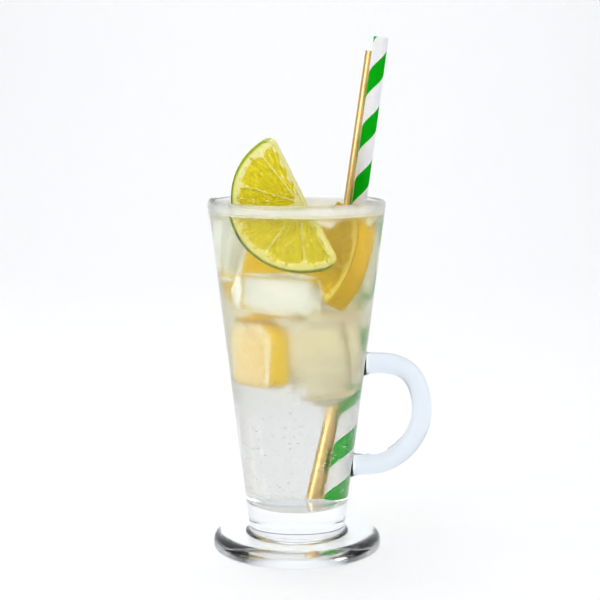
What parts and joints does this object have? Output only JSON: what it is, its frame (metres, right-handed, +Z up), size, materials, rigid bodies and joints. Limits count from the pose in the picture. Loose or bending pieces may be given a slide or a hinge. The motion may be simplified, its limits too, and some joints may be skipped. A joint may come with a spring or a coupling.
{
  "type": "glass of lime juice",
  "caption": "Tall footed glass mug with a handle, filled with iced lime juice, with a lime slice, a lemon slice and drinking straws standing in it.",
  "frame": {"origin": "middle of the foot's flat underside, where the glass stands", "axes": "+Z up along the glass's own axis, +X towards the handle, -Y towards the viewer and the lime slice"},
  "size_m": [0.0955, 0.075, 0.218],
  "materials": {
    "glass": "clear polished glass",
    "drink": "clear pale yellow drink with ice",
    "lime": "moist yellow-green flesh with a green rind",
    "lemon": "moist yellow flesh with a yellow rind",
    "paper": "matt white paper with a green spiral stripe",
    "gold": "polished gold-coloured metal"
  },
  "bodies": {
    "root": {"glass": "glass", "drink": "drink", "lime_slice": "lime", "lemon_slice": "lemon", "paper_straw": "paper", "gold_straw": "gold"}
  },
  "joints": []
}
